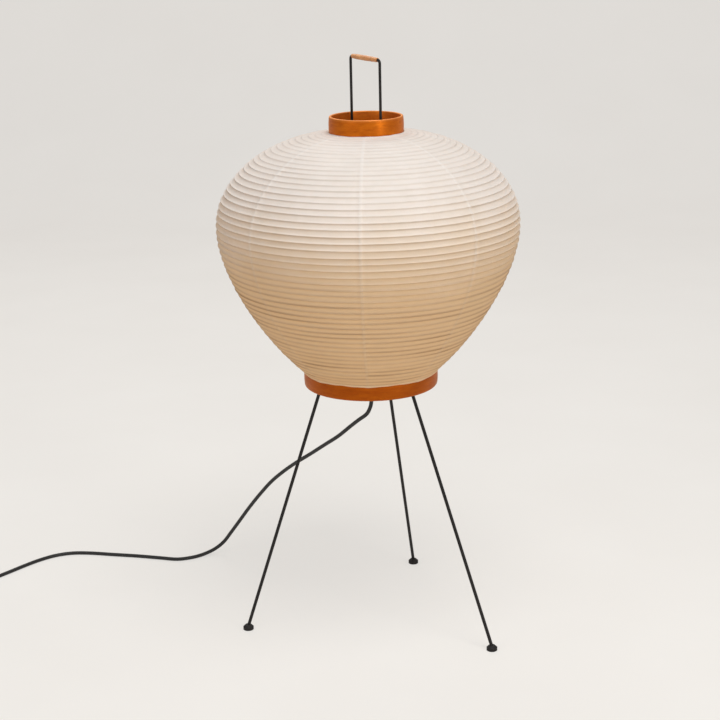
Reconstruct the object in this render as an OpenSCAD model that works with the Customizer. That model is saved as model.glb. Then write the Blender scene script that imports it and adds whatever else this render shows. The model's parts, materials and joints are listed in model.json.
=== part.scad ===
// Paper lantern floor lamp: a ribbed paper shade between two bentwood rings, on a wire frame
// with a carrying handle, over a steel base with three splayed legs.
// Millimetres, +Z up, origin on the floor under the lamp's axis. The front is -Y.

/* [Shade] */
// Width of the paper shade at its belly
shade_d = 450; // [380:5:540]
// Height of the paper, from the bottom ring's top edge to the seam on the top ring
paper_h = 355.5; // [290:0.5:430]
// Height of the belly above the bottom ring's top edge
belly_up = 222; // [170:1:280]
// Slope of the paper where it leaves the top ring, in degrees below level
shoulder_slope = 2; // [0:1:20]
// Slope of the paper where it meets the bottom ring, in degrees above level
skirt_slope = 39; // [30:1:65]
// Fullness of the shoulder, as a share of the run from the top ring to the belly
shoulder_fullness = 0.49; // [0.3:0.01:0.7]
// Fullness of the upper belly, as a share of its height
upper_fullness = 0.57; // [0.3:0.01:0.7]
// Fullness of the lower belly, as a share of its height
lower_fullness = 0.38; // [0.3:0.01:0.7]
// Fullness of the skirt, as a share of the run from the belly to the bottom ring
skirt_fullness = 0.42; // [0.3:0.01:0.7]
// Thickness of the paper with its glue
paper_t = 0.8; // [0.5:0.1:1.2]
// Number of bamboo ribs
rib_count = 50; // [30:1:60]
// Width of a bamboo rib, along the paper
rib_w = 1.6; // [1:0.1:2.5]
// Thickness of a bamboo rib, into the shade
rib_t = 1.2; // [0.8:0.1:2]
// Overlap of the paper on the outside of the bottom ring
skirt_lap = 2.5; // [2:0.5:9]

/* [Rings] */
// Outer width of the top ring
top_ring_d = 110; // [90:1:140]
// Height of the top ring
top_ring_h = 29; // [20:0.5:35]
// Wall of the top ring
top_ring_wall = 4.5; // [3:0.5:7]
// Height of the paper seam above the top ring's lower edge
top_seam_up = 4.5; // [3:0.5:8]
// Outer width of the bottom ring
bottom_ring_d = 202; // [180:1:240]
// Height of the bottom ring
bottom_ring_h = 25; // [20:0.5:35]
// Wall of the bottom ring
bottom_ring_wall = 6; // [4:0.5:9]
// Thickness of the hoop inside the bottom ring, which rests on the base
liner_t = 4; // [3.5:0.5:6]
// Rounding of the rings' edges
ring_edge_r = 1.4; // [0.5:0.1:1.9]

/* [Base and legs] */
// Height of the bottom ring's lower edge above the floor
base_h = 375; // [280:1:460]
// Height of the base plate's underside above the bottom ring's lower edge
plate_up = 4; // [2:0.5:6]
// Thickness of the base plate and of the frame bar
plate_t = 3; // [2:0.5:4]
// Width of the base plate's round hub
hub_d = 46; // [36:1:60]
// Width of an arm of the base plate
arm_w = 14; // [10:1:20]
// Thickness of the base's wire hoop
hoop_d = 4; // [3:0.5:5]
// Direction of the rear leg about the lamp's axis, in degrees
rear_leg_azimuth = 73; // [66:1:82]
// Direction of the left leg about the lamp's axis, in degrees
left_leg_azimuth = 197; // [185:1:203]
// Direction of the right leg about the lamp's axis, in degrees
right_leg_azimuth = 320; // [314:1:328]
// Thickness of a leg
leg_d = 5; // [4:0.5:7]
// Distance of a leg at the base plate from the line of the base's wire hoop
leg_inset = 15; // [14:0.5:20]
// Distance of the rear foot from the axis
rear_foot_r = 214; // [170:1:260]
// Distance of the left foot from the axis
left_foot_r = 206; // [170:1:260]
// Distance of the right foot from the axis
right_foot_r = 230; // [170:1:260]
// Outer width of a leg socket
socket_d = 9; // [8:0.5:11]
// Length of a leg socket
socket_l = 22; // [18:1:26]
// Width of a rubber foot
foot_d = 16; // [12:1:22]
// Height of a rubber foot
foot_h = 8; // [7:0.5:12]

/* [Handle frame] */
// Thickness of the frame's wire
wire_d = 4; // [3:0.5:5]
// Distance of the handle's uprights from the bore of the top ring, to their middle
handle_inset = 7.5; // [5:0.5:15]
// Height of the handle's bar above the top ring's upper edge, to its middle
handle_h = 83; // [60:1:110]
// Direction of the handle's near end about the lamp's axis, in degrees
handle_azimuth = -60; // [-75:1:-50]
// Distance of the frame's uprights inside the shade from the top ring's outer face
frame_outset = 6; // [4:0.5:10]
// Radius of the frame's bends, to the middle of the wire
bend_r = 5; // [4.5:0.5:6]
// Width of the frame bar
bar_w = 14; // [12:1:18]
// Distance of the bamboo grip's ends from the handle's two bends
grip_end_gap = 0.5; // [0.5:0.5:12]
// Thickness of the bamboo grip at its middle
grip_d = 7.6; // [6.5:0.1:11]
// Thickness of the bamboo grip at its ends
grip_end_d = 6.4; // [5.6:0.1:9]

/* [Lamp holder and bulb] */
// Outer width of the lamp holder
holder_d = 39; // [36:0.5:46]
// Height of the holder's cap
cap_h = 18; // [15:0.5:24]
// Height of the holder's skirt
skirt_h = 38; // [34:0.5:46]
// Wall of the holder's cap and skirt
holder_wall = 2; // [1.5:0.1:2.5]
// Outer width of the threaded nipple
nipple_d = 10; // [9:0.5:12]
// Bore of the threaded nipple
nipple_bore_d = 7; // [6:0.5:8]
// Outer width of the bulb's screw base
screw_d = 26.4; // [26:0.1:26.6]
// Width of the bulb's glass
bulb_d = 60; // [45:1:80]
// Height of the bulb, from its contact to its top
bulb_h = 106; // [98:1:130]

/* [Mains lead] */
// Thickness of the cord
cord_d = 6; // [5:0.5:6]
// Length of the strain relief under the base
cord_grip_l = 20.9; // [16:0.1:24]
// Turns of the coil in each of its two layers
coil_turns = 2.75; // [2.75:1:3.75]
// Radius of the coil's innermost turn, to the middle of the cord
coil_inner_r = 25; // [24:1:32]
// Length of the in-line switch
switch_l = 62; // [54:1:70]
// Width of the in-line switch
switch_w = 24; // [22:1:30]
// Height of the in-line switch
switch_h = 17; // [15:0.5:22]
// Travel of the rocker, in degrees
rocker_travel = 16; // [8:1:20]
// Distance between the plug's two pins
pin_spacing = 19; // [17:0.1:20]
// Thickness of a plug pin
pin_d = 4; // [3.5:0.1:4.8]
// Length of a plug pin
pin_l = 19; // [16:0.5:20]

/* [Clearances] */
// Glue line or seat between two pieces that don't move
seat_gap = 0.05; // [0.02:0.01:0.1]
// Gap between the bottom ring and what it rests on or moves past
moving_gap = 0.3; // [0.2:0.05:0.5]
// Radial gap of a pin in its bore
running_gap = 0.05; // [0.03:0.01:0.1]
// Glue line between a rib and the paper
rib_gap = 0.1; // [0.08:0.01:0.2]

/* [Hidden] */
$fn = 64;

paper_colour = "#efe3cf";
bamboo_colour = "#d9b98a";
lacquer_colour = "#a4501c";
cane_colour = "#c98f5a";
steel_colour = "#1b1918";
zinc_colour = "#a9acb0";
brass_colour = "#c9a24a";
bakelite_colour = "#17130f";
porcelain_colour = "#e9e4da";
glass_colour = "#f4efe6";
rubber_colour = "#161514";

// Heights
bottom_ring_top = base_h + bottom_ring_h;
seam_z = bottom_ring_top + paper_h;
top_ring_z = seam_z - top_seam_up;
top_ring_top = top_ring_z + top_ring_h;
belly_z = bottom_ring_top + belly_up;
plate_z = base_h + plate_up;
bar_z = plate_z + plate_t;
bar_top = bar_z + plate_t;
hoop_z = bar_z + hoop_d / 2;
handle_z = top_ring_top + handle_h;

// Radii
top_ring_r = top_ring_d / 2;
bottom_ring_r = bottom_ring_d / 2;
bottom_ring_in = bottom_ring_r - bottom_ring_wall;
liner_in = bottom_ring_in - liner_t;
hoop_edge_gap = 1;
hoop_r = bottom_ring_in - hoop_edge_gap - hoop_d / 2;
belly_r = shade_d / 2;

function unit(v) = v / norm(v);

// ---- the shade's meridian -------------------------------------------------------------

// The paper's end face at the top leans by its slope, so the seam stands off by a hair more
top_seam_gap = 3 * seat_gap;
paper_top = [top_ring_r + top_seam_gap, seam_z];
paper_foot = [bottom_ring_r + moving_gap + paper_t, bottom_ring_top];
belly = [belly_r, belly_z];
shoulder_reach = shoulder_fullness * (belly_r - top_ring_r);
skirt_reach = skirt_fullness * (belly_r - bottom_ring_r);

upper_curve = [
    paper_top,
    paper_top + shoulder_reach * [cos(shoulder_slope), -sin(shoulder_slope)],
    belly + [0, upper_fullness * (seam_z - belly_z)],
    belly
];
lower_curve = [
    belly,
    belly - [0, lower_fullness * belly_up],
    paper_foot + skirt_reach * [cos(skirt_slope), sin(skirt_slope)],
    paper_foot
];

function bezier(p, t) =
    pow(1 - t, 3) * p[0] + 3 * pow(1 - t, 2) * t * p[1]
    + 3 * (1 - t) * t * t * p[2] + t * t * t * p[3];

// t runs from 0 at the top seam to 2 at the bottom ring
function meridian(t) = t < 1 ? bezier(upper_curve, t) : bezier(lower_curve, t - 1);

// Length along the meridian at even steps of t, to space the ribs evenly on the paper
meridian_steps = 160;
step_t = 2 / meridian_steps;
meridian_length = [
    for (i = 0, s = 0; i <= meridian_steps; i = i + 1,
         s = s + norm(meridian(i * step_t) - meridian((i - 1) * step_t)))
        s
];
t_of_length = [for (i = [0:meridian_steps]) [meridian_length[i], i * step_t]];
rib_pitch = meridian_length[meridian_steps] / (rib_count + 1);

// The paper runs straight from rib to rib, and then down over the bottom ring
ridge_points = concat(
    [for (k = [0:rib_count]) meridian(lookup(k * rib_pitch, t_of_length))],
    [paper_foot, paper_foot - [0, skirt_lap]]
);
last_ridge = len(ridge_points) - 1;

// Normal of the facet that starts at ridge i, pointing into the shade
function facet_normal(i) =
    let (d = unit(ridge_points[i + 1] - ridge_points[i])) [d[1], -d[0]];

// Step from ridge i that moves both of its facets inwards by 1
function inward(i) =
    i == 0 ? facet_normal(0)
    : i == last_ridge ? facet_normal(last_ridge - 1)
    : let (a = facet_normal(i - 1), b = facet_normal(i)) (a + b) / (1 + a * b);

// The paper is pasted on in eight gores, whose edges meet along a meridian. The first gore
// starts at the seam that faces the front.
gore_count = 8;
gore_angle = 360 / gore_count;
front_seam = -92;

module paper_gore(n) {
    inner = [for (i = [last_ridge:-1:0]) ridge_points[i] + paper_t * inward(i)];
    color(paper_colour)
        rotate(front_seam + (n - 1) * gore_angle)
            rotate_extrude(angle = gore_angle, $fn = 96)
                polygon(concat(ridge_points, inner));
}

module paper_gore_1() { paper_gore(1); }
module paper_gore_2() { paper_gore(2); }
module paper_gore_3() { paper_gore(3); }
module paper_gore_4() { paper_gore(4); }
module paper_gore_5() { paper_gore(5); }
module paper_gore_6() { paper_gore(6); }
module paper_gore_7() { paper_gore(7); }
module paper_gore_8() { paper_gore(8); }

// One hoop of split bamboo under each ridge of the paper, its flat skin side outwards
module bamboo_ribs() {
    depth = paper_t + rib_gap + rib_t / 2;
    color(bamboo_colour)
        for (k = [1:rib_count])
            let (way = inward(k))
                rotate_extrude($fn = 96)
                    translate(ridge_points[k] + depth * way)
                        rotate(atan2(way[1], way[0]))
                            square([rib_t, rib_w], center = true);
}

// ---- the rings ------------------------------------------------------------------------

// A rectangle from the origin with its four corners rounded
module rounded_bar(w, h, r) {
    translate([r, 0]) square([w - 2 * r, h]);
    translate([0, r]) square([w, h - 2 * r]);
    for (x = [r, w - r], y = [r, h - r]) translate([x, y]) circle(r = r, $fn = 24);
}

module bentwood_ring(outer_r, wall, h) {
    rotate_extrude($fn = 96)
        translate([outer_r - wall, 0]) rounded_bar(wall, h, ring_edge_r);
}

module top_ring() {
    color(lacquer_colour)
        translate([0, 0, top_ring_z]) bentwood_ring(top_ring_r, top_ring_wall, top_ring_h);
}

module bottom_ring() {
    color(lacquer_colour)
        translate([0, 0, base_h])
            bentwood_ring(bottom_ring_r, bottom_ring_wall, bottom_ring_h);
}

// The hoop glued inside the bottom ring: its lower edge rests on the base's wire hoop
module bottom_ring_liner() {
    liner_z = hoop_z + hoop_d / 2 + seat_gap + moving_gap;
    liner_top = bottom_ring_top - ring_edge_r;
    color(bamboo_colour)
        translate([0, 0, liner_z])
            rotate_extrude($fn = 96)
                translate([liner_in, 0])
                    square([liner_t - seat_gap, liner_top - liner_z]);
}

// ---- the handle frame -----------------------------------------------------------------

// The frame's line lies in the XY plane, with Y for the height, until stand_up() turns it.
// Its shoulders run level under the top ring's wall and carry it.
shoulder_y = top_ring_z - seat_gap - wire_d / 2;
upright_u = top_ring_r - top_ring_wall - handle_inset;
frame_u = top_ring_r + frame_outset;
upright_end_below = 2;
grip_l = 2 * (upright_u - bend_r - grip_end_gap);

module stand_up() {
    rotate(handle_azimuth) rotate([90, 0, 0]) children();
}

module wire_up(u, from, to) {
    translate([u, from]) rotate([-90, 0, 0]) cylinder(h = to - from, d = wire_d, $fn = 32);
}

module wire_across(y, from, to) {
    translate([from, y]) rotate([0, 90, 0]) cylinder(h = to - from, d = wire_d, $fn = 32);
}

module wire_bend(centre, start) {
    translate(centre)
        rotate(start)
            rotate_extrude(angle = 90, $fn = 48)
                translate([bend_r, 0]) circle(d = wire_d, $fn = 32);
}

module half_frame() {
    wire_up(frame_u, bar_z - nut_h - upright_end_below, shoulder_y - bend_r);
    wire_bend([frame_u - bend_r, shoulder_y - bend_r], 0);
    wire_across(shoulder_y, upright_u + bend_r, frame_u - bend_r);
    wire_bend([upright_u + bend_r, shoulder_y + bend_r], 180);
    wire_up(upright_u, shoulder_y + bend_r, handle_z - bend_r);
    wire_bend([upright_u - bend_r, handle_z - bend_r], 0);
    wire_across(handle_z, 0, upright_u - bend_r);
}

module handle_frame() {
    color(steel_colour)
        stand_up() {
            half_frame();
            mirror([1, 0, 0]) half_frame();
        }
}

// A length of bamboo, a little thicker in the middle, pressed on the handle's bar
module handle_grip() {
    steps = 12;
    bore_r = wire_d / 2 + seat_gap;
    end_r = grip_end_d / 2;
    swell = grip_d / 2 - end_r;
    side = [
        for (i = [0:steps])
            let (x = i / steps * 2 - 1) [end_r + swell * (1 - x * x), x * grip_l / 2]
    ];
    color(cane_colour)
        stand_up()
            translate([0, handle_z])
                rotate([0, 90, 0])
                    rotate_extrude($fn = 48)
                        polygon(concat([[bore_r, -grip_l / 2]], side, [[bore_r, grip_l / 2]]));
}

// ---- the bar that holds the frame, and its nuts ---------------------------------------

nut_af = 7;
nut_h = 3.2;
bar_end_margin = 9;
hole_gap = 0.1;

module hex_nut(af, h, bore_d) {
    difference() {
        cylinder(h = h, d = af / cos(30), $fn = 6);
        translate([0, 0, -1]) cylinder(h = h + 2, d = bore_d, $fn = 32);
    }
}

module frame_bar() {
    half = frame_u + bar_end_margin - bar_w / 2;
    color(steel_colour)
        translate([0, 0, bar_z + seat_gap])
            rotate(handle_azimuth)
                linear_extrude(plate_t - seat_gap)
                    difference() {
                        union() {
                            translate([-half, -bar_w / 2]) square([2 * half, bar_w]);
                            for (x = [-half, half]) translate([x, 0]) circle(d = bar_w);
                        }
                        circle(d = nipple_d + 2 * hole_gap);
                        for (x = [-frame_u, frame_u])
                            translate([x, 0]) circle(d = wire_d + 2 * hole_gap);
                    }
}

// A nut above and below the bar at each upright of the frame
module frame_nuts() {
    color(zinc_colour)
        rotate(handle_azimuth)
            for (x = [-frame_u, frame_u], z = [bar_z - nut_h, bar_top + seat_gap])
                translate([x, 0, z]) hex_nut(nut_af, nut_h, wire_d + 2 * running_gap);
}

// ---- the base -------------------------------------------------------------------------

// The rods can be sprung a little sideways, and stand unevenly in the photograph
leg_azimuths = [rear_leg_azimuth, left_leg_azimuth, right_leg_azimuth];
foot_distances = [rear_foot_r, left_foot_r, right_foot_r];
leg_r = hoop_r - leg_inset;
arm_reach = hoop_r + 1.5;
lobe_margin = 5.5;
pivot_z = plate_z + plate_t / 2;
leg_end_z = 3;
leg_into_socket = 8;

function splay(n) = atan((foot_distances[n] - leg_r) / pivot_z);

// Places its children at leg n's crossing of the base plate, with Z up along the leg
module at_leg(n) {
    rotate(leg_azimuths[n])
        translate([leg_r, 0, pivot_z])
            rotate([0, -splay(n), 0]) children();
}

module base_plate() {
    color(steel_colour)
        difference() {
            translate([0, 0, plate_z])
                linear_extrude(plate_t)
                    difference() {
                        union() {
                            circle(d = hub_d);
                            for (a = leg_azimuths) rotate(a) {
                                translate([0, -arm_w / 2]) square([arm_reach, arm_w]);
                                translate([leg_r, 0]) circle(d = socket_d + 2 * lobe_margin);
                            }
                        }
                        circle(d = nipple_d + 2 * hole_gap);
                    }
            for (n = [0:2])
                at_leg(n)
                    translate([0, 0, -socket_l])
                        cylinder(h = 2 * socket_l, d = socket_d + 2 * seat_gap);
        }
}

module base_hoop() {
    color(steel_colour)
        translate([0, 0, hoop_z + seat_gap])
            rotate_extrude($fn = 96) translate([hoop_r, 0]) circle(d = hoop_d, $fn = 24);
}

// Three sleeves welded into the base plate, each with the blind bore that a leg screws into
module leg_sockets() {
    color(steel_colour)
        for (n = [0:2])
            at_leg(n)
                difference() {
                    translate([0, 0, -socket_l / 2]) cylinder(h = socket_l, d = socket_d);
                    translate([0, 0, -socket_l])
                        cylinder(h = socket_l + leg_into_socket, d = leg_d + 2 * running_gap);
                }
}

module leg(n) {
    drop = (pivot_z - leg_end_z) / cos(splay(n));
    color(steel_colour)
        at_leg(n)
            translate([0, 0, -drop])
                cylinder(h = drop + leg_into_socket - seat_gap, d = leg_d, $fn = 48);
}

// A round rubber foot, flat below, with a slanting blind hole for the leg's end
module foot(n) {
    disc_h = foot_h * 0.6;
    neck_r = leg_d / 2 + 2.2;
    edge = 0.6;
    drop = (pivot_z - leg_end_z + seat_gap) / cos(splay(n));
    color(rubber_colour)
        difference() {
            rotate(leg_azimuths[n])
                translate([foot_distances[n] - (leg_end_z + foot_h) / 2 * tan(splay(n)), 0, 0])
                    rotate_extrude($fn = 48)
                        polygon([
                            [0, 0], [foot_d / 2 - edge, 0], [foot_d / 2, edge],
                            [foot_d / 2, disc_h], [neck_r, foot_h], [0, foot_h]
                        ]);
            at_leg(n)
                translate([0, 0, -drop]) cylinder(h = drop, d = leg_d + 2 * running_gap, $fn = 48);
        }
}

module leg_rear() { leg(0); }
module leg_left() { leg(1); }
module leg_right() { leg(2); }
module foot_rear() { foot(0); }
module foot_left() { foot(1); }
module foot_right() { foot(2); }

// ---- the lamp holder ------------------------------------------------------------------

nipple_below = 7;
nipple_in_cap = 8;
nipple_nut_h = 3;
nipple_nut_af = 14;
cap_z = bar_top + seat_gap;
skirt_z = cap_z + cap_h;
holder_r = holder_d / 2;
cap_r = holder_r - 1;
cap_in = cap_r - holder_wall;
cap_ledge = 9;
insert_h = 11;
insert_z = cap_z + cap_ledge + seat_gap;
insert_top = insert_z + insert_h;
shell_t = 0.4;
thread_gap = 0.3;
shell_in = screw_d / 2 + thread_gap;
shell_h = 26;

module nipple() {
    color(zinc_colour)
        translate([0, 0, plate_z - nipple_below])
            difference() {
                cylinder(h = nipple_below + 2 * plate_t + nipple_in_cap, d = nipple_d);
                translate([0, 0, -1])
                    cylinder(h = nipple_below + 2 * plate_t + nipple_in_cap + 2, d = nipple_bore_d);
            }
}

module nipple_nut() {
    color(zinc_colour)
        translate([0, 0, plate_z - nipple_nut_h - seat_gap])
            hex_nut(nipple_nut_af, nipple_nut_h, nipple_d + 2 * running_gap);
}

// The lower half of the holder: a cup with a rounded bottom, screwed on the nipple, with a
// ledge inside for the insert
module holder_cap() {
    floor_t = 4;
    well_r = cap_r - cap_ledge;
    color(bakelite_colour)
        translate([0, 0, cap_z])
            rotate_extrude()
                difference() {
                    union() {
                        translate([0, cap_ledge]) square([cap_r, cap_h - cap_ledge]);
                        square([cap_r - cap_ledge, cap_h]);
                        translate([cap_r - cap_ledge, cap_ledge]) circle(r = cap_ledge);
                    }
                    translate([-1, floor_t]) square([well_r + 1, cap_h]);
                    translate([-1, cap_ledge]) square([cap_in + 1, cap_h]);
                    translate([-1, -1]) square([nipple_d / 2 + running_gap + 1, cap_h]);
                }
}

// The upper half: a plain skirt with a finger-grip band and a rolled rim
module holder_skirt() {
    rim = 2.6;
    band_z = 6;
    band_pitch = 3;
    band_r = 0.7;
    color(bakelite_colour)
        translate([0, 0, skirt_z + seat_gap])
            rotate_extrude()
                difference() {
                    union() {
                        translate([holder_r - holder_wall, 0]) square([holder_wall, skirt_h - rim / 2]);
                        translate([holder_r - rim / 2, skirt_h - rim / 2]) circle(d = rim, $fn = 24);
                    }
                    for (i = [0:3])
                        translate([holder_r, band_z + i * band_pitch]) circle(r = band_r, $fn = 24);
                }
}

// The porcelain insert that carries the contacts, with two holes for the wires
module holder_insert() {
    wire_hole_y = 5.5;
    wire_hole_d = 3.5;
    color(porcelain_colour)
        difference() {
            translate([0, 0, insert_z]) cylinder(h = insert_h, r = cap_in - running_gap);
            for (y = [-wire_hole_y, wire_hole_y])
                translate([0, y, insert_z - 1]) cylinder(h = insert_h + 2, d = wire_hole_d);
        }
}

module screw_shell() {
    color(brass_colour)
        translate([0, 0, insert_top + seat_gap])
            difference() {
                cylinder(h = shell_h, r = shell_in + shell_t);
                translate([0, 0, shell_t]) cylinder(h = shell_h, r = shell_in);
                translate([0, 0, -1]) cylinder(h = 3, r = 7);
            }
}

// A springy tongue of brass that rises to the bulb's contact
module centre_contact() {
    tongue_w = 5;
    color(brass_colour)
        translate([0, tongue_w / 2, insert_top + seat_gap])
            rotate([90, 0, 0])
                linear_extrude(tongue_w)
                    polygon([
                        [-5, 0], [-1.5, 0], [2.5, tip_z - insert_top - 0.9],
                        [4.5, tip_z - insert_top - 1.9], [4.5, tip_z - insert_top - 1.3],
                        [2.3, tip_z - insert_top - moving_gap - seat_gap],
                        [-1.9, 0.6], [-5, 0.6]
                    ]);
}

// ---- the bulb -------------------------------------------------------------------------

tip_z = insert_top + 3.6;
tip_h = 1.4;
insulator_h = 3.2;
thread_count = 5;
thread_pitch = 3.6;
base_z = tip_z + tip_h + insulator_h;
base_sleeve_h = thread_count * thread_pitch + 3;
glass_z = base_z + base_sleeve_h;
bulb_r = bulb_d / 2;
neck_r = 12.4;
glass_t = 1;

module bulb_tip() {
    color(brass_colour) translate([0, 0, tip_z]) cylinder(h = tip_h - seat_gap, r = 4.6);
}

module bulb_insulator() {
    color(bakelite_colour)
        translate([0, 0, tip_z + tip_h])
            rotate_extrude()
                polygon([[0, 0], [5.2, 0], [10.4, insulator_h - seat_gap], [0, insulator_h - seat_gap]]);
}

// The screw base, its thread drawn as rounded rings of the thread's pitch
module bulb_base() {
    crest_r = 1;
    root_r = screw_d / 2 - crest_r;
    color(brass_colour)
        translate([0, 0, base_z])
            rotate_extrude()
                difference() {
                    union() {
                        square([root_r, base_sleeve_h]);
                        for (i = [0:thread_count - 1])
                            translate([root_r, (i + 0.6) * thread_pitch])
                                circle(r = crest_r, $fn = 24);
                    }
                    translate([-1, 2]) square([root_r - 0.5 + 1, base_sleeve_h]);
                }
}

// The glass: a globe that runs down to the neck in one straight-sided cone
module bulb_glass() {
    globe_z = tip_z + bulb_h - bulb_r;
    rise = globe_z - glass_z;
    lean = asin((bulb_r - neck_r) / rise);
    color(glass_colour)
        rotate_extrude($fn = 96)
            difference() {
                bulb_outline(globe_z, lean, 0);
                bulb_outline(globe_z, lean, glass_t);
            }
}

// Half the bulb's outline, drawn in by the given wall; the cone touches the globe at lean
module bulb_outline(globe_z, lean, wall) {
    touch = [bulb_r * cos(lean), -bulb_r * sin(lean)];
    intersection() {
        union() {
            translate([0, globe_z]) circle(r = bulb_r - wall);
            polygon([
                [0, glass_z + seat_gap + wall],
                [neck_r - wall, glass_z + seat_gap + wall],
                [touch[0] - wall * cos(lean), globe_z + touch[1] + wall * sin(lean)],
                [0, globe_z]
            ]);
        }
        translate([0, glass_z]) square([2 * bulb_r, 2 * bulb_h]);
    }
}

// ---- the mains lead -------------------------------------------------------------------

grip_top_z = plate_z - nipple_nut_h - 2 * seat_gap;
grip_bottom_z = grip_top_z - cord_grip_l;

// The rubber strain relief under the base: a collar on the nipple and a ribbed taper
module cord_grip() {
    collar_h = 7;
    collar_r = nipple_d / 2 + 2.4;
    tail_r = cord_d / 2 + 1.1;
    groove_d = 1;
    taper_h = grip_top_z - collar_h - grip_bottom_z;
    color(rubber_colour)
        rotate_extrude($fn = 48)
            difference() {
                union() {
                    translate([0, grip_top_z - collar_h]) square([collar_r, collar_h]);
                    translate([0, grip_bottom_z])
                        polygon([[0, 0], [tail_r, 0], [collar_r - 1, taper_h], [0, taper_h]]);
                }
                translate([-1, plate_z - nipple_below - seat_gap])
                    square([nipple_d / 2 + running_gap + 1, nipple_below]);
                for (i = [1:3])
                    translate([tail_r + 1.1 + i * (collar_r - 1 - tail_r) / 4 - 0.6,
                               grip_bottom_z + i * taper_h / 4])
                        circle(d = groove_d, $fn = 16);
            }
}

// The lead's route, chosen by hand: out of the base, down behind the left leg, and over the
// floor to the switch
switch_x = -665;
switch_y = 50;
switch_axis_z = switch_h / 2;
nose_l = 6;
stub = cord_d;
inlet_y = switch_y + switch_l / 2 + nose_l;
outlet_y = switch_y - switch_l / 2 - nose_l;
cord_route = [
    [0, 0, 350], [0, 0, 347], [-2, 2, 336], [-8, 8, 323], [-21, 21, 309.5],
    [-35, 36, 294], [-54, 55, 273], [-77, 79, 251], [-101, 104, 228], [-125, 128, 206],
    [-148, 151, 183], [-170, 173, 158], [-191, 194, 129], [-211, 214, 99],
    [-229, 232, 70], [-246, 248, 43], [-261, 258, 21], [-277, 257, 8.5],
    [-295, 246, 3.6], [-314, 233, 3], [-338, 226, 3], [-368, 233, 3], [-408, 243, 3],
    [-450, 251, 3], [-490, 259, 3], [-522, 260, 3], [-549, 250, 3], [-573, 230, 3],
    [-594, 205, 3], [-612, 181, 3], [-629, 159, 3], [-646, 137, 3], [-658, 119, 4],
    [-664, 103, 7], [switch_x, switch_y + 44, switch_axis_z]
];

// The coil lies on its tie, past the switch; its first turn takes up the switch's line
coil_pitch = cord_d + 0.6;
coil_outer_r = coil_inner_r + coil_turns * coil_pitch;
coil_centre = [switch_x - coil_outer_r, -30];
tie_t = 0.8;
coil_z = tie_t + moving_gap + cord_d / 2;
coil_layer = coil_pitch;
coil_mouth_y = coil_centre[1] + stub;
plug_x = switch_x - 2 * coil_outer_r;
plug_axis_z = 7;
plug_y = 16;

// A smooth curve through the points p, at share t of the way from point i to the next
function through(p, i, t) =
    let (
        n = len(p) - 1,
        a = p[max(i - 1, 0)], b = p[i], c = p[min(i + 1, n)], d = p[min(i + 2, n)]
    )
    0.5 * (2 * b + (c - a) * t + (2 * a - 5 * b + 4 * c - d) * t * t
           + (3 * b - a - 3 * c + d) * t * t * t);

// Each stretch of the route in two or more equal shares, none much longer than the step
function smooth(p, step) = concat(
    [
        for (i = [0:len(p) - 2])
            let (n = max(1, round(norm(p[i + 1] - p[i]) / step)))
                for (k = [0:n - 1]) through(p, i, k / n)
    ],
    [p[len(p) - 1]]
);

function tangent(p, i) =
    unit(p[min(i + 1, len(p) - 1)] - p[max(i - 1, 0)]);

// A side vector for each point, carried along the line so that the tube never twists
function sides_of(p, first) = [
    for (i = 0, s = unit(first - (first * tangent(p, 0)) * tangent(p, 0)); i < len(p);
         i = i + 1,
         s = i < len(p) ? unit(s - (s * tangent(p, i)) * tangent(p, i)) : s)
        s
];

// One closed tube round the line p: a ring of corners at each point, joined by triangles
module tube(p, d, corners, first = [0, 0, 1]) {
    side = sides_of(p, first);
    n = len(p);
    points = [
        for (i = [0:n - 1], k = [0:corners - 1])
            let (a = (k + 0.5) * 360 / corners, other = cross(tangent(p, i), side[i]))
                p[i] + d / 2 * (cos(a) * side[i] + sin(a) * other)
    ];
    walls = [
        for (i = [0:n - 2], k = [0:corners - 1])
            let (
                a = i * corners + k, b = i * corners + (k + 1) % corners,
                c = a + corners, e = b + corners
            )
                each [[a, b, e], [a, e, c]]
    ];
    caps = [
        for (k = [1:corners - 2])
            each [
                [0, k + 1, k],
                [(n - 1) * corners, (n - 1) * corners + k, (n - 1) * corners + k + 1]
            ]
    ];
    polyhedron(points = points, faces = [for (f = concat(walls, caps)) [f[2], f[1], f[0]]]);
}

cord_step = 15;
cord_corners = 8;
cord_end_gap = 0.02;

// The cord's ends run straight into what they meet
module mains_cord() {
    route = concat(
        [[0, 0, grip_bottom_z - cord_end_gap]],
        smooth(cord_route, cord_step),
        [[switch_x, inlet_y + cord_end_gap, switch_axis_z]]
    );
    color(rubber_colour) tube(route, cord_d, cord_corners, [1, 0, 0]);
}

module switch_lead() {
    route = concat(
        [[switch_x, outlet_y - cord_end_gap, switch_axis_z]],
        smooth(
            [
                [switch_x, outlet_y - stub, switch_axis_z],
                [switch_x, (outlet_y + coil_mouth_y) / 2, (switch_axis_z + coil_z) / 2],
                [switch_x, coil_mouth_y + stub, coil_z]
            ], cord_d
        ),
        [[switch_x, coil_mouth_y + cord_end_gap, coil_z]]
    );
    color(rubber_colour) tube(route, cord_d, cord_corners);
}

module plug_lead() {
    top = coil_z + coil_layer;
    route = concat(
        [[plug_x, coil_mouth_y + cord_end_gap, top]],
        smooth(
            [
                [plug_x, coil_mouth_y + stub, top],
                [plug_x, (coil_mouth_y + plug_y) / 2, (top + plug_axis_z) / 2],
                [plug_x, plug_y - stub, plug_axis_z]
            ], cord_d
        ),
        [[plug_x, plug_y - cord_end_gap, plug_axis_z]]
    );
    color(rubber_colour) tube(route, cord_d, cord_corners);
}

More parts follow.
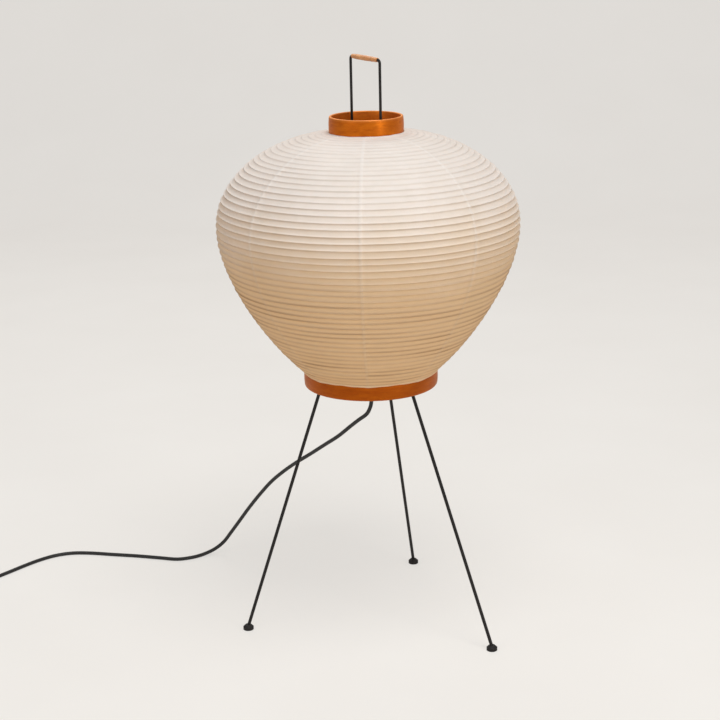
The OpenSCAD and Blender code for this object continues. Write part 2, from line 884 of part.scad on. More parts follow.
// The coil's line: in through the lower layer, up in the half turn where it reverses, and
// out through the upper one, with a straight end on either side
coil_steps = 24;
coil_corners = 6;
coil_reverse = coil_turns * 360;
function coil_radius(a) = coil_inner_r + coil_pitch * abs(a - coil_reverse) / 360;
function coil_height(a) =
    coil_z + coil_layer * min(1, max(0, (a - coil_reverse + 90) / 180));
function coil_point(a) = [
    coil_centre[0] + coil_radius(a) * cos(a),
    coil_centre[1] - coil_radius(a) * sin(a),
    coil_height(a)
];
coil_loops = [
    for (i = [0:2 * coil_turns * coil_steps]) coil_point(i * 360 / coil_steps)
];
coil_line = concat(
    [coil_loops[0] + [0, stub, 0]], coil_loops,
    [coil_loops[len(coil_loops) - 1] + [0, stub, 0]]
);
coil_gap = min([
    for (i = [0:len(coil_loops) - 1], j = [i + 12:len(coil_loops) - 1])
        norm(coil_loops[i] - coil_loops[j])
]) - cord_d;

module cord_coil() {
    color(rubber_colour) tube(coil_line, cord_d, coil_corners, [1, 0, sqrt(3)]);
}

// A strap round the bundle of turns, at the coil's near side
module coil_tie() {
    tie_w = 10;
    slack = 1;
    corner_r = 2;
    near_in = coil_inner_r + coil_pitch / 2 - cord_d / 2;
    near_out = coil_inner_r + coil_turns * coil_pitch - coil_pitch / 4 + cord_d / 2;
    w = near_out - near_in + 2 * slack;
    h = coil_layer + cord_d + 2 * moving_gap;
    color(rubber_colour)
        translate([coil_centre[0] - tie_w / 2, coil_centre[1] - near_out - slack, tie_t])
            rotate([90, 0, 90])
                linear_extrude(tie_w)
                    difference() {
                        translate([-tie_t, -tie_t])
                            rounded_bar(w + 2 * tie_t, h + 2 * tie_t, corner_r + tie_t);
                        rounded_bar(w, h, corner_r);
                    }
}

// ---- the in-line switch ---------------------------------------------------------------

rocker_w = 10;
rocker_l = 22;
rocker_gap = 0.5;
trunnion_r = 1.6;
trunnion_l = 2;
rocker_z = switch_h - 5;
pocket_floor = 3;
split_z = switch_axis_z;
boss_d = 10;

// Places its children on the switch, with X along the lead
module at_switch() {
    translate([switch_x, switch_y]) rotate(90) children();
}

// The round noses through which the lead runs in and out, above or below the split
module switch_noses(upper) {
    nose_d = cord_d + 4;
    reach = switch_l / 2 + nose_l;
    intersection() {
        translate([0, 0, split_z])
            rotate([0, 90, 0])
                difference() {
                    cylinder(h = 2 * reach, d = nose_d, center = true);
                    cylinder(h = switch_l - 8, d = nose_d + 2, center = true);
                }
        translate([-2 * reach, -switch_w, upper ? split_z + seat_gap : 0])
            cube([4 * reach, 2 * switch_w, upper ? switch_h : split_z]);
    }
}

module switch_outline(inset) {
    r = switch_w / 2 - inset;
    half = switch_l / 2 - switch_w / 2;
    translate([-half, -r]) square([2 * half, 2 * r]);
    for (x = [-half, half]) translate([x, 0]) circle(r = r);
}

// The pocket that the rocker swings in, and the bores for its two trunnions
module rocker_room() {
    room_l = rocker_l + 2 * rocker_gap;
    room_w = rocker_w + 2 * rocker_gap;
    translate([-room_l / 2, -room_w / 2, pocket_floor]) cube([room_l, room_w, switch_h]);
    translate([0, 0, rocker_z])
        rotate([90, 0, 0])
            cylinder(
                h = rocker_w + 2 * trunnion_l + 2 * rocker_gap,
                r = trunnion_r + running_gap, center = true, $fn = 32
            );
}

screw_head_d = 5;
screw_head_h = 1.6;
screw_shank_d = 2.6;
screw_x = 22;
screw_up = 9;

module screw_holes(gap) {
    for (x = [-screw_x, screw_x]) translate([x, 0, 0]) {
        translate([0, 0, 0.4 - gap]) cylinder(h = screw_head_h + 2 * gap, d = screw_head_d + 2 * gap);
        translate([0, 0, 0.4]) cylinder(h = screw_up + gap, d = screw_shank_d + 2 * gap, $fn = 32);
    }
}

module switch_base() {
    color(bakelite_colour)
        at_switch()
            difference() {
                union() {
                    translate([0, 0, 0.6]) linear_extrude(split_z - 0.6) switch_outline(0);
                    linear_extrude(1) switch_outline(0.8);
                    switch_noses(false);
                }
                rocker_room();
                screw_holes(seat_gap);
                for (x = [-screw_x, screw_x])
                    translate([x, 0, -1]) cylinder(h = 1.6, d = screw_head_d + 2 * seat_gap);
            }
}

module switch_cover() {
    cover_z = split_z + seat_gap;
    crown = 1.2;
    color(bakelite_colour)
        at_switch()
            difference() {
                union() {
                    translate([0, 0, cover_z])
                        linear_extrude(switch_h - cover_z - crown) switch_outline(0);
                    translate([0, 0, cover_z])
                        linear_extrude(switch_h - cover_z) switch_outline(crown);
                    switch_noses(true);
                }
                rocker_room();
                screw_holes(seat_gap);
            }
}

// The rocker rests with one end down; its two trunnions turn in the cover
module switch_rocker() {
    top = switch_h - rocker_z + 1.6;
    dip = 1.1;
    belly_depth = 4.6;
    half = rocker_l / 2 - 0.6;
    color(bakelite_colour)
        at_switch()
            translate([0, 0, rocker_z])
                rotate([0, rocker_travel / 2, 0]) {
                    rotate([90, 0, 0])
                        translate([0, 0, -rocker_w / 2])
                            linear_extrude(rocker_w)
                                polygon([
                                    [-half, top], [-half * 0.5, top - dip * 0.8],
                                    [0, top - dip], [half * 0.5, top - dip * 0.8],
                                    [half, top], [half - 1.2, 0],
                                    [half * 0.45, -belly_depth * 0.8], [0, -belly_depth],
                                    [-half * 0.45, -belly_depth * 0.8], [-half + 1.2, 0]
                                ]);
                    rotate([90, 0, 0])
                        cylinder(
                            h = rocker_w + 2 * trunnion_l, r = trunnion_r,
                            center = true, $fn = 32
                        );
                }
}

module switch_screws() {
    color(zinc_colour) at_switch() screw_holes(0);
}

// ---- the plug -------------------------------------------------------------------------

plug_w = 35.3;
plug_t = 13.7;
plug_body_l = 24;
plug_neck_l = 16;
plug_face_y = plug_y + plug_neck_l + plug_body_l;
sleeve_l = 10;

// A flat two-pin plug: a six-sided body, and a grooved neck round the lead
module plug_body() {
    corner = 5;
    neck_w = 11;
    neck_d = cord_d + 3.4;
    color(rubber_colour)
        translate([plug_x, plug_y, plug_axis_z]) {
            rotate([-90, 0, 0])
                difference() {
                    cylinder(h = plug_neck_l, d = neck_d);
                    for (i = [1:3])
                        translate([0, 0, i * plug_neck_l / 4])
                            difference() {
                                cylinder(h = 1.2, d = neck_d + 2);
                                translate([0, 0, -1]) cylinder(h = 4, d = neck_d - 1.4);
                            }
                }
            translate([0, 0, -plug_t / 2])
                linear_extrude(plug_t)
                    polygon([
                        [-neck_w / 2, plug_neck_l], [neck_w / 2, plug_neck_l],
                        [plug_w / 2, plug_neck_l + plug_body_l - corner * 2],
                        [plug_w / 2, plug_neck_l + plug_body_l],
                        [-plug_w / 2, plug_neck_l + plug_body_l],
                        [-plug_w / 2, plug_neck_l + plug_body_l - corner * 2]
                    ]);
        }
}

module at_pins() {
    for (x = [-pin_spacing / 2, pin_spacing / 2])
        translate([plug_x + x, plug_face_y + seat_gap, plug_axis_z]) rotate([-90, 0, 0]) children();
}

// The insulating sleeves round the roots of the pins
module plug_sleeves() {
    sleeve_d = pin_d - 0.2;
    core_d = pin_d - 1;
    color(bakelite_colour)
        at_pins()
            difference() {
                cylinder(h = sleeve_l - seat_gap, d = sleeve_d, $fn = 32);
                translate([0, 0, -1]) cylinder(h = sleeve_l + 1, d = core_d + 2 * seat_gap, $fn = 32);
            }
}

module plug_pins() {
    core_d = pin_d - 1;
    color(brass_colour)
        at_pins() {
            cylinder(h = sleeve_l, d = core_d, $fn = 32);
            translate([0, 0, sleeve_l]) cylinder(h = pin_l - sleeve_l - pin_d / 2, d = pin_d, $fn = 32);
            translate([0, 0, pin_l - pin_d / 2]) sphere(d = pin_d, $fn = 32);
        }
}

echo(coil_self_gap_mm = coil_gap, rib_pitch_mm = rib_pitch, splay_deg = [for (n = [0:2]) splay(n)]);

paper_gore_1();
paper_gore_2();
paper_gore_3();
paper_gore_4();
paper_gore_5();
paper_gore_6();
paper_gore_7();
paper_gore_8();
bamboo_ribs();
top_ring();
bottom_ring();
bottom_ring_liner();
handle_frame();
handle_grip();
frame_bar();
frame_nuts();
base_plate();
base_hoop();
leg_sockets();
leg_left();
leg_right();
leg_rear();
foot_left();
foot_right();
foot_rear();
nipple();
nipple_nut();
holder_cap();
holder_skirt();
holder_insert();
screw_shell();
centre_contact();
bulb_glass();
bulb_base();
bulb_insulator();
bulb_tip();
cord_grip();
mains_cord();
switch_lead();
cord_coil();
plug_lead();
coil_tie();
switch_base();
switch_cover();
switch_rocker();
switch_screws();
plug_body();
plug_sleeves();
plug_pins();
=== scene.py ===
"""The looks of the paper lantern floor lamp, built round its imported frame, in metres."""

import json
import math

import bpy
import numpy as np
from mathutils import Matrix, Vector


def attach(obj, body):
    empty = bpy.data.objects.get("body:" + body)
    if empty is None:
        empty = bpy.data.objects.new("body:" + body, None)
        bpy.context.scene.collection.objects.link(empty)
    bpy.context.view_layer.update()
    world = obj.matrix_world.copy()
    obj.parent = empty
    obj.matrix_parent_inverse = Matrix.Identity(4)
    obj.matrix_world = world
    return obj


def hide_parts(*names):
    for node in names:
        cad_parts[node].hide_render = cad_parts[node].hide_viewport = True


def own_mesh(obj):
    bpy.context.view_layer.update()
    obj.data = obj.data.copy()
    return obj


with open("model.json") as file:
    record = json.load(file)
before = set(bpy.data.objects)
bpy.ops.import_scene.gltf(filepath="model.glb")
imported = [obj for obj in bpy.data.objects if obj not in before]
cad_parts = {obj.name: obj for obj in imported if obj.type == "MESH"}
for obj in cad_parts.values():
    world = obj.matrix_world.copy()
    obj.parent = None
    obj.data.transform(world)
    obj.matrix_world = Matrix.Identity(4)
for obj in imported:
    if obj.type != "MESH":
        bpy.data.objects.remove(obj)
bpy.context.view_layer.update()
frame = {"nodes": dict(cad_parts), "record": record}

MM = 0.001
NODES = frame["nodes"]


# ---- the camera -------------------------------------------------------------------------

CAMERA_AT = (0.0395, -2.6146, 1.1349)
CAMERA_PITCH = math.radians(15.473)
CAMERA_ROLL = math.radians(-1.2)
CAMERA_YAW = math.radians(-1.22)
SENSOR_WIDTH = 36
FOCAL_LENGTH = 89.85


def add_camera():
    """The photograph's view: a long lens a little above the lamp, tipped down and to one side."""
    pitch, roll, yaw = CAMERA_PITCH, CAMERA_ROLL, CAMERA_YAW
    forward = Vector(
        (math.sin(yaw) * math.cos(pitch), math.cos(yaw) * math.cos(pitch), -math.sin(pitch))
    )
    right = Vector((math.cos(yaw), -math.sin(yaw), 0))
    up = right.cross(forward)
    across = math.cos(roll) * right + math.sin(roll) * up
    upward = -math.sin(roll) * right + math.cos(roll) * up
    data = bpy.data.cameras.new("camera")
    data.sensor_width = SENSOR_WIDTH
    data.lens = FOCAL_LENGTH
    data.clip_start = 0.05
    data.clip_end = 100
    cam = bpy.data.objects.new("camera", data)
    bpy.context.scene.collection.objects.link(cam)
    rows = [(across[i], upward[i], -forward[i], CAMERA_AT[i]) for i in range(3)]
    cam.matrix_world = Matrix(rows + [(0, 0, 0, 1)])
    bpy.context.scene.camera = cam


add_camera()


# ---- meshes -----------------------------------------------------------------------------

RING_SEGMENTS = 160
CORD_SIDES = 16


def add_mesh(name, verts, faces, mat, attributes=None):
    """A smooth mesh with one material, and a float attribute of each vertex for each name given."""
    mesh = bpy.data.meshes.new(name)
    mesh.from_pydata([tuple(map(float, v)) for v in verts], [], [tuple(map(int, f)) for f in faces])
    for key, values in (attributes or {}).items():
        attribute = mesh.attributes.new(key, "FLOAT", "POINT")
        attribute.data.foreach_set("value", np.asarray(values, np.float32).ravel())
    mesh.materials.append(mat)
    mesh.polygons.foreach_set("use_smooth", [True] * len(mesh.polygons))
    mesh.update()
    ob = bpy.data.objects.new(name, mesh)
    bpy.context.scene.collection.objects.link(ob)
    return ob


def grid_faces(rows, columns, closed_rows=False, closed_columns=True):
    """The quads of a grid of points, counted row by row."""
    faces = []
    for i in range(rows if closed_rows else rows - 1):
        for j in range(columns if closed_columns else columns - 1):
            a, b = i * columns + j, i * columns + (j + 1) % columns
            c, d = ((i + 1) % rows) * columns + (j + 1) % columns, ((i + 1) % rows) * columns + j
            faces.append((a, b, c, d))
    return faces


def revolve(name, profile, mat, attributes):
    """A closed profile of (radius, height) turned round the lamp's axis; an attribute has one
    value for each point of the profile."""
    angles = np.arange(RING_SEGMENTS) * 2 * np.pi / RING_SEGMENTS
    verts = [(r * math.cos(a), r * math.sin(a), z) for r, z in profile for a in angles]
    faces = grid_faces(len(profile), RING_SEGMENTS, closed_rows=True)
    spread = {key: np.repeat(values, RING_SEGMENTS) for key, values in attributes.items()}
    return add_mesh(name, verts, faces, mat, attributes=spread)


def tube(name, points, radius, mat):
    """A round tube along the points, with flat ends."""
    p = np.asarray(points, float)
    along = np.gradient(p, axis=0)
    along /= np.linalg.norm(along, axis=1)[:, None]
    side = np.array([1.0, 0, 0])
    verts = []
    for i in range(len(p)):
        side = side - (side @ along[i]) * along[i]
        side /= np.linalg.norm(side)
        other = np.cross(along[i], side)
        for k in range(CORD_SIDES):
            a = 2 * math.pi * k / CORD_SIDES
            verts.append(p[i] + radius * (math.cos(a) * side + math.sin(a) * other))
    faces = grid_faces(len(p), CORD_SIDES)
    faces.append(tuple(range(CORD_SIDES))[::-1])
    faces.append(tuple((len(p) - 1) * CORD_SIDES + k for k in range(CORD_SIDES)))
    return add_mesh(name, verts, faces, mat)


# ---- materials --------------------------------------------------------------------------


def srgb(r, g, b):
    """A colour written as on the screen, from 0 to 255, as linear light."""
    return tuple(
        c / 12.92 if c <= 0.04045 else ((c + 0.055) / 1.055) ** 2.4
        for c in (r / 255, g / 255, b / 255)
    ) + (1.0,)


class Nodes:
    """Short names for the node calls that the materials below use."""

    def __init__(self, name):
        self.mat = bpy.data.materials.new(name)
        self.mat.use_nodes = True
        self.tree = self.mat.node_tree
        self.tree.nodes.clear()
        self.out = self.add("ShaderNodeOutputMaterial")
        self.shader = self.add("ShaderNodeBsdfPrincipled")
        self.link(self.shader.outputs[0], self.out.inputs["Surface"])

    def add(self, kind, **settings):
        node = self.tree.nodes.new(kind)
        for key, value in settings.items():
            setattr(node, key, value)
        return node

    def link(self, a, b):
        self.tree.links.new(a, b)

    def put(self, socket, value):
        if isinstance(value, bpy.types.NodeSocket):
            self.link(value, socket)
        else:
            socket.default_value = value

    def set(self, **values):
        for key, value in values.items():
            self.put(self.shader.inputs[key.replace("_", " ")], value)

    def math(self, operation, a, b=0.0, clamp=False):
        node = self.add("ShaderNodeMath", operation=operation, use_clamp=clamp)
        self.put(node.inputs[0], a)
        self.put(node.inputs[1], b)
        return node.outputs[0]

    def plus(self, a, b):
        return self.math("ADD", a, b)

    def times(self, a, b):
        return self.math("MULTIPLY", a, b)

    def coords(self):
        return self.add("ShaderNodeTexCoord").outputs["Object"]

    def scaled(self, vector, scale):
        node = self.add("ShaderNodeMapping")
        self.put(node.inputs["Vector"], vector)
        node.inputs["Scale"].default_value = scale
        return node.outputs[0]

    def noise(self, vector, scale, detail=4.0, rough=0.5, distortion=0.0):
        node = self.add("ShaderNodeTexNoise")
        self.put(node.inputs["Vector"], vector)
        node.inputs["Scale"].default_value = scale
        node.inputs["Detail"].default_value = detail
        node.inputs["Roughness"].default_value = rough
        node.inputs["Distortion"].default_value = distortion
        return node.outputs["Fac"]

    def ramp(self, value, low, high, to_low=0.0, to_high=1.0, kind="LINEAR"):
        node = self.add("ShaderNodeMapRange", interpolation_type=kind)
        for socket, v in zip(node.inputs, (value, low, high, to_low, to_high)):
            self.put(socket, v)
        return node.outputs[0]

    def mix(self, share, a, b):
        node = self.add("ShaderNodeMix", data_type="RGBA")
        self.put(node.inputs[0], share)
        self.put(node.inputs[6], a)
        self.put(node.inputs[7], b)
        return node.outputs[2]

    def blend(self, share, first, second):
        """The surface as a mix of two shaders."""
        node = self.add("ShaderNodeMixShader")
        self.put(node.inputs[0], share)
        self.link(first.outputs[0], node.inputs[1])
        self.link(second.outputs[0], node.inputs[2])
        self.link(node.outputs[0], self.out.inputs["Surface"])

    def bump(self, height, strength, distance):
        node = self.add("ShaderNodeBump")
        node.inputs["Strength"].default_value = strength
        node.inputs["Distance"].default_value = distance
        self.put(node.inputs["Height"], height)
        self.put(self.shader.inputs["Normal"], node.outputs[0])
        return node.outputs[0]

    def attribute(self, name):
        return self.add("ShaderNodeAttribute", attribute_name=name).outputs["Fac"]

    def round_axis(self, around, up):
        """Coordinates that run round the lamp's axis at one scale, and up it and out from it at another,
        and the plain height."""
        split = self.add("ShaderNodeSeparateXYZ")
        self.link(self.coords(), split.inputs[0])
        x, y, z = split.outputs
        angle = self.math("ARCTAN2", x, self.times(y, -1.0))
        radius = self.math("SQRT", self.plus(self.times(x, x), self.times(y, y)))
        join = self.add("ShaderNodeCombineXYZ")
        self.link(self.times(angle, around), join.inputs[0])
        self.link(self.times(z, up), join.inputs[1])
        self.link(self.times(radius, up), join.inputs[2])
        return join.outputs[0], z


PAPER_TONES = (240, 237, 232), (247, 244, 240), (232, 224, 211)
PAPER_SHADE_TONE = (248, 229, 196)
FIBRE_TONE = (253, 251, 245)
SEAM_TONE = (254, 252, 248)
RIB_SHADE_TONES = (144, 130, 112), (142, 100, 56)
GLOW_TONES = (240, 200, 142), (248, 214, 160)
SEAM_GLOW = (196, 158, 110)
# The share of the paper's surface that takes its light from behind
GLOW = 0.26
# Painted shade: the paper turns tan from the first height down to the second, by the share
PAPER_SHADE_FROM, PAPER_SHADE_TO, PAPER_SHADE_SHARE = 0.7, 0.53, 0.9
# How far the clouds can move the edge of the painted shade, from lowest to highest, in metres
PAPER_SHADE_WANDER = 0.09
# How much the painted shade along a rib darkens the paper, and how much more where the painted shade
# makes the paper tan
RIB_SHADE_DARK, RIB_SHADE_MORE = 0.26, 0.5
# How much a seam shows, and how much less where the painted shade makes the paper tan
SEAM_SHOWN, SEAM_LOST = 0.42, 0.36


def paper_material():
    """Handmade paper: long pale fibres, faint clouds, a tan glow where light comes through it, and
    painted shade: tan toward the bottom and dark lines along the ribs.
    """
    m = Nodes("washi_paper")
    where = m.coords()
    ridge, seam = m.attribute("ridge"), m.attribute("seam")
    cloud = m.noise(where, 9, 4, 0.55)
    mottle = m.noise(where, 60, 4, 0.6)
    grain = m.noise(where, 520, 3, 0.6)
    fibres = m.noise(m.scaled(where, (1.0, 1.0, 0.22)), 240, 4, 0.65, 1.6)
    strands = m.ramp(fibres, 0.6, 0.72)
    base = m.mix(m.ramp(cloud, 0.35, 0.68), srgb(*PAPER_TONES[0]), srgb(*PAPER_TONES[1]))
    base = m.mix(m.times(m.ramp(mottle, 0.45, 0.75), 0.22), base, srgb(*PAPER_TONES[2]))
    base = m.mix(m.times(strands, 0.3), base, srgb(*FIBRE_TONE))
    # Painted shade: the paper turns tan toward the bottom, its edge moved by the clouds
    z = m.plus(m.attribute("height"), m.times(m.math("SUBTRACT", cloud, 0.5), PAPER_SHADE_WANDER))
    lower = m.ramp(z, PAPER_SHADE_FROM, PAPER_SHADE_TO, 0.0, PAPER_SHADE_SHARE, "SMOOTHSTEP")
    base = m.mix(lower, base, srgb(*PAPER_SHADE_TONE))
    # Painted shade: a dark line along each rib, partly the rib seen through the paper
    rib = m.mix(lower, srgb(*RIB_SHADE_TONES[0]), srgb(*RIB_SHADE_TONES[1]))
    dark = m.plus(RIB_SHADE_DARK, m.times(lower, RIB_SHADE_MORE))
    base = m.mix(m.times(ridge, dark), base, rib)
    shown = m.math("SUBTRACT", SEAM_SHOWN, m.times(lower, SEAM_LOST))
    base = m.mix(m.times(seam, shown), base, srgb(*SEAM_TONE))
    m.set(Base_Color=base, Roughness=m.ramp(grain, 0.2, 0.8, 0.7, 0.88))
    m.set(Specular_IOR_Level=0.2)
    height = m.plus(m.times(fibres, 0.8), m.times(grain, 0.35))
    height = m.plus(height, m.times(mottle, 0.9))
    normal = m.bump(height, 0.3, 0.0005)
    back = m.add("ShaderNodeBsdfTranslucent")
    glow = m.mix(m.ramp(cloud, 0.35, 0.68), srgb(*GLOW_TONES[0]), srgb(*GLOW_TONES[1]))
    glow = m.mix(m.times(seam, 0.3), glow, srgb(*SEAM_GLOW))
    m.put(back.inputs["Color"], glow)
    m.link(normal, back.inputs["Normal"])
    m.blend(GLOW, m.shader, back)
    return m.mat


LACQUER_TONES = (200, 104, 18), (178, 84, 14)
LACQUER_GRAIN = (138, 56, 8), (226, 130, 34)
LACQUER_SHADE_TONE = (118, 40, 10)
LACQUER_HIGHLIGHT_TONE = (244, 160, 92)
# Painted shade: the lacquer grows darker from the first height down to the second, so the bottom ring
# under the shade is darker
LACQUER_SHADE_FROM, LACQUER_SHADE_TO = 0.5, 0.45


def lacquered_wood():
    """Bent softwood under an amber lacquer, with fine grain round the ring, a painted highlight along the
    upper rims and painted shade on the bottom ring.
    """
    m = Nodes("lacquered_wood")
    where, z = m.round_axis(1.6, 60.0)
    fine, _ = m.round_axis(4.5, 420.0)
    bands = m.noise(where, 1.6, 3, 0.55, 0.6)
    lines = m.noise(fine, 1.0, 5, 0.6, 0.3)
    base = m.mix(m.ramp(bands, 0.35, 0.68), srgb(*LACQUER_TONES[0]), srgb(*LACQUER_TONES[1]))
    base = m.mix(m.times(m.ramp(lines, 0.54, 0.74), 0.32), base, srgb(*LACQUER_GRAIN[0]))
    base = m.mix(m.times(m.ramp(lines, 0.44, 0.3), 0.3), base, srgb(*LACQUER_GRAIN[1]))
    # Painted shade: the bottom ring darker, as under the shade
    base = m.mix(m.ramp(z, LACQUER_SHADE_FROM, LACQUER_SHADE_TO, 0.0, 0.3), base, srgb(*LACQUER_SHADE_TONE))
    # Painted highlight along the upper rim of each ring
    base = m.mix(m.times(m.attribute("rim"), 0.7), base, srgb(*LACQUER_HIGHLIGHT_TONE))
    m.set(Base_Color=base, Roughness=m.ramp(lines, 0.3, 0.7, 0.34, 0.44))
    m.set(Metallic=0.4, Specular_IOR_Level=0.4, Specular_Tint=(1.0, 0.62, 0.18, 1.0))
    m.bump(lines, 0.12, 0.0004)
    return m.mat


BAMBOO_TONES = (216, 184, 132), (198, 160, 104), (150, 112, 66)


def split_bamboo():
    """The ribs' bamboo: pale and matt, with darker fibres."""
    m = Nodes("split_bamboo")
    where = m.coords()
    cloud = m.noise(where, 40, 3)
    fibre = m.noise(m.scaled(where, (30, 30, 30)), 22, 4, 0.6, 0.8)
    base = m.mix(m.ramp(cloud, 0.35, 0.65), srgb(*BAMBOO_TONES[0]), srgb(*BAMBOO_TONES[1]))
    base = m.mix(m.times(m.ramp(fibre, 0.5, 0.75), 0.6), base, srgb(*BAMBOO_TONES[2]))
    m.set(Base_Color=base, Roughness=m.ramp(fibre, 0.3, 0.7, 0.5, 0.62))
    m.bump(fibre, 0.2, 0.0003)
    return m.mat


CANE_TONES = (222, 160, 100), (200, 130, 74), (140, 80, 38)
CANE_NODE_TONE = (112, 60, 28)
# The handle's bar runs at this angle clockwise from +X, seen from above
HANDLE_TURN = math.radians(60)


def cane_material():
    """The grip's bamboo: long fine fibres along the bar, darker at the rings of its nodes."""
    m = Nodes("cane")
    along = m.add("ShaderNodeMapping")
    m.link(m.coords(), along.inputs["Vector"])
    along.inputs["Rotation"].default_value = (0, 0, HANDLE_TURN)
    fibre = m.noise(m.scaled(along.outputs[0], (18, 900, 900)), 1.0, 4, 0.6)
    cloud = m.noise(m.scaled(along.outputs[0], (60, 200, 200)), 1.0, 3)
    base = m.mix(m.ramp(cloud, 0.3, 0.7), srgb(*CANE_TONES[0]), srgb(*CANE_TONES[1]))
    base = m.mix(m.times(m.ramp(fibre, 0.5, 0.75), 0.65), base, srgb(*CANE_TONES[2]))
    base = m.mix(m.times(m.attribute("ring"), 0.75), base, srgb(*CANE_NODE_TONE))
    m.set(Base_Color=base, Roughness=m.ramp(fibre, 0.3, 0.7, 0.36, 0.5))
    m.bump(fibre, 0.25, 0.0003)
    return m.mat


def plain_surface(name, colour, second, scale, rough, metallic=0.0, bump=0.1, coat=0.0, gloss=0.5):
    """Paint, plastic, rubber or metal: two shades, a roughness that varies, and a fine texture."""
    m = Nodes(name)
    where = m.coords()
    cloud = m.noise(where, scale, 4, 0.6)
    fine = m.noise(where, scale * 9, 4, 0.6)
    base = m.mix(m.ramp(cloud, 0.35, 0.7), srgb(*colour), srgb(*second))
    m.set(Base_Color=base, Roughness=m.ramp(fine, 0.3, 0.7, rough - 0.05, rough + 0.08))
    m.set(Metallic=metallic, Specular_IOR_Level=gloss)
    if coat:
        m.set(Coat_Weight=coat, Coat_Roughness=0.12)
    m.bump(fine, bump, 0.0002)
    return m.mat


CORD_TONES = (16, 14, 14), (44, 40, 38)


def cord_material():
    """A smooth black rubber lead with a faint texture and dust."""
    m = Nodes("cord_rubber")
    where = m.coords()
    dust = m.noise(where, 90, 4, 0.65)
    fine = m.noise(where, 1500, 2)
    base = m.mix(m.times(m.ramp(dust, 0.5, 0.8), 0.35), srgb(*CORD_TONES[0]), srgb(*CORD_TONES[1]))
    m.set(Base_Color=base, Roughness=m.ramp(dust, 0.3, 0.75, 0.42, 0.62))
    m.bump(fine, 0.1, 0.0002)
    return m.mat


PAPER = paper_material()
WOOD = lacquered_wood()
BAMBOO = split_bamboo()
CANE = cane_material()
FINISH = {
    "paper": PAPER,
    "bamboo": BAMBOO,
    "lacquered_wood": WOOD,
    "cane": CANE,
    "black_steel": plain_surface(
        "black_steel", (17, 14, 13), (27, 23, 21), 60, 0.42, bump=0.12, gloss=0.3
    ),
    "zinc": plain_surface("zinc_plate", (176, 178, 182), (150, 153, 158), 90, 0.36, metallic=1.0),
    "brass": plain_surface("brass", (204, 166, 92), (182, 142, 72), 90, 0.3, metallic=1.0),
    "bakelite": plain_surface(
        "bakelite", (24, 19, 17), (34, 27, 23), 120, 0.28, bump=0.05, coat=0.2
    ),
    "porcelain": plain_surface(
        "porcelain", (236, 232, 222), (226, 220, 208), 60, 0.24, bump=0.04, coat=0.6
    ),
    "opal_glass": plain_surface(
        "opal_glass", (242, 240, 234), (234, 231, 224), 20, 0.2, bump=0.02, coat=0.5
    ),
    "black_rubber": plain_surface(
        "black_rubber", (24, 23, 23), (38, 36, 35), 200, 0.62, bump=0.3, gloss=0.3
    ),
}
CORD = cord_material()


# ---- the lead, its coil and what is on it -------------------------------------------------

CORD_R = 3 * MM
SWITCH_X = -665
SWITCH_Y = 50
SWITCH_Z = 8.5
PLUG_Z = 7
PLUG_Y = 16
COIL_PITCH = 6.6
COIL_INNER = 25
COIL_TURNS = 2.75
COIL_Z = 4.1
COIL_STEP = 7.5
COIL_OUTER = COIL_INNER + COIL_TURNS * COIL_PITCH
COIL_X = SWITCH_X - COIL_OUTER
COIL_Y = -30
PLUG_X = SWITCH_X - 2 * COIL_OUTER
# Steps of the smooth line between two points of the route, and of the tail
ROUTE_STEPS, TAIL_STEPS = 5, 3
# Points of the lead that lie closer together than this are left out
LEAST_STEP = 1.5 * MM

ROUTE = [
    (0, 0, 358), (0, 0, 350), (0, 0, 347), (-2, 2, 336), (-8, 8, 323), (-21, 21, 309.5),
    (-35, 36, 294), (-54, 55, 273), (-77, 79, 251), (-101, 104, 228), (-125, 128, 206),
    (-148, 151, 183), (-170, 173, 158), (-191, 194, 129), (-211, 214, 99),
    (-229, 232, 70), (-246, 248, 43), (-261, 258, 21), (-277, 257, 8.5),
    (-295, 246, 3.6), (-314, 233, 3), (-338, 226, 3), (-368, 233, 3), (-408, 243, 3),
    (-450, 251, 3), (-490, 259, 3), (-522, 260, 3), (-549, 250, 3), (-573, 230, 3),
    (-594, 205, 3), (-612, 181, 3), (-629, 159, 3), (-646, 137, 3), (-658, 119, 4),
    (-664, 103, 7), (SWITCH_X, SWITCH_Y + 44, SWITCH_Z), (SWITCH_X, SWITCH_Y + 37, SWITCH_Z),
    (SWITCH_X, SWITCH_Y, SWITCH_Z), (SWITCH_X, SWITCH_Y - 37, SWITCH_Z),
    (SWITCH_X, SWITCH_Y - 43, SWITCH_Z), (SWITCH_X, SWITCH_Y - 55.5, 6.3),
    (SWITCH_X, COIL_Y + 12, COIL_Z), (SWITCH_X, COIL_Y + 6, COIL_Z),
]
TAIL = [
    (PLUG_X, COIL_Y + 6, COIL_Z + COIL_PITCH), (PLUG_X, COIL_Y + 12, COIL_Z + COIL_PITCH),
    (PLUG_X, COIL_Y + 26, 8.85), (PLUG_X, PLUG_Y - 6, PLUG_Z), (PLUG_X, PLUG_Y, PLUG_Z),
    (PLUG_X, PLUG_Y + 3, PLUG_Z),
]


def through(p, per_stretch):
    """A smooth line through the points, with so many steps from each to the next."""
    p = np.asarray(p, float)
    line = []
    for i in range(len(p) - 1):
        a, b, c, d = p[max(i - 1, 0)], p[i], p[i + 1], p[min(i + 2, len(p) - 1)]
        for k in range(per_stretch):
            t = k / per_stretch
            line.append(
                0.5 * (2 * b + (c - a) * t + (2 * a - 5 * b + 4 * c - d) * t * t
                       + (3 * b - a - 3 * c + d) * t**3)
            )
    line.append(p[-1])
    return line


